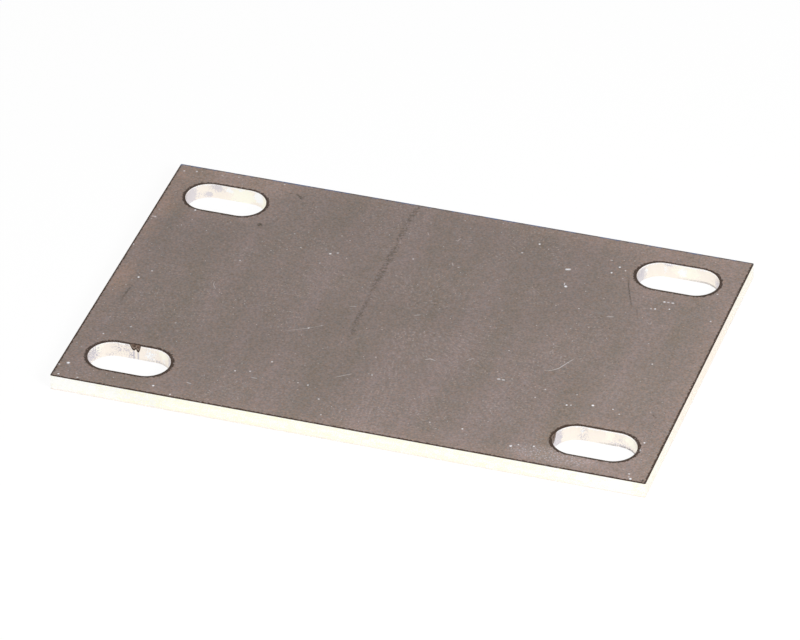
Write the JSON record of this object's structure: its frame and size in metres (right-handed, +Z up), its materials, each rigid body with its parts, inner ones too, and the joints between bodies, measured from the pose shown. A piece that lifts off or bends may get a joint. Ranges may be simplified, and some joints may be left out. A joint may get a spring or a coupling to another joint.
{
  "type": "caster mounting plate",
  "caption": "Flat rectangular steel plate with a slotted bolt hole near each corner, for bolting a caster under a cart, cabinet or appliance.",
  "frame": {"origin": "middle of the underside", "axes": "+X along the plate's length, +Y across its width, +Z up through its thickness"},
  "size_m": [0.1778, 0.1142, 0.005],
  "materials": {
    "mill_steel": "mill finish, warm grey faces with bright cut edges"
  },
  "bodies": {
    "root": {"mounting_plate": "mill_steel"}
  },
  "joints": []
}
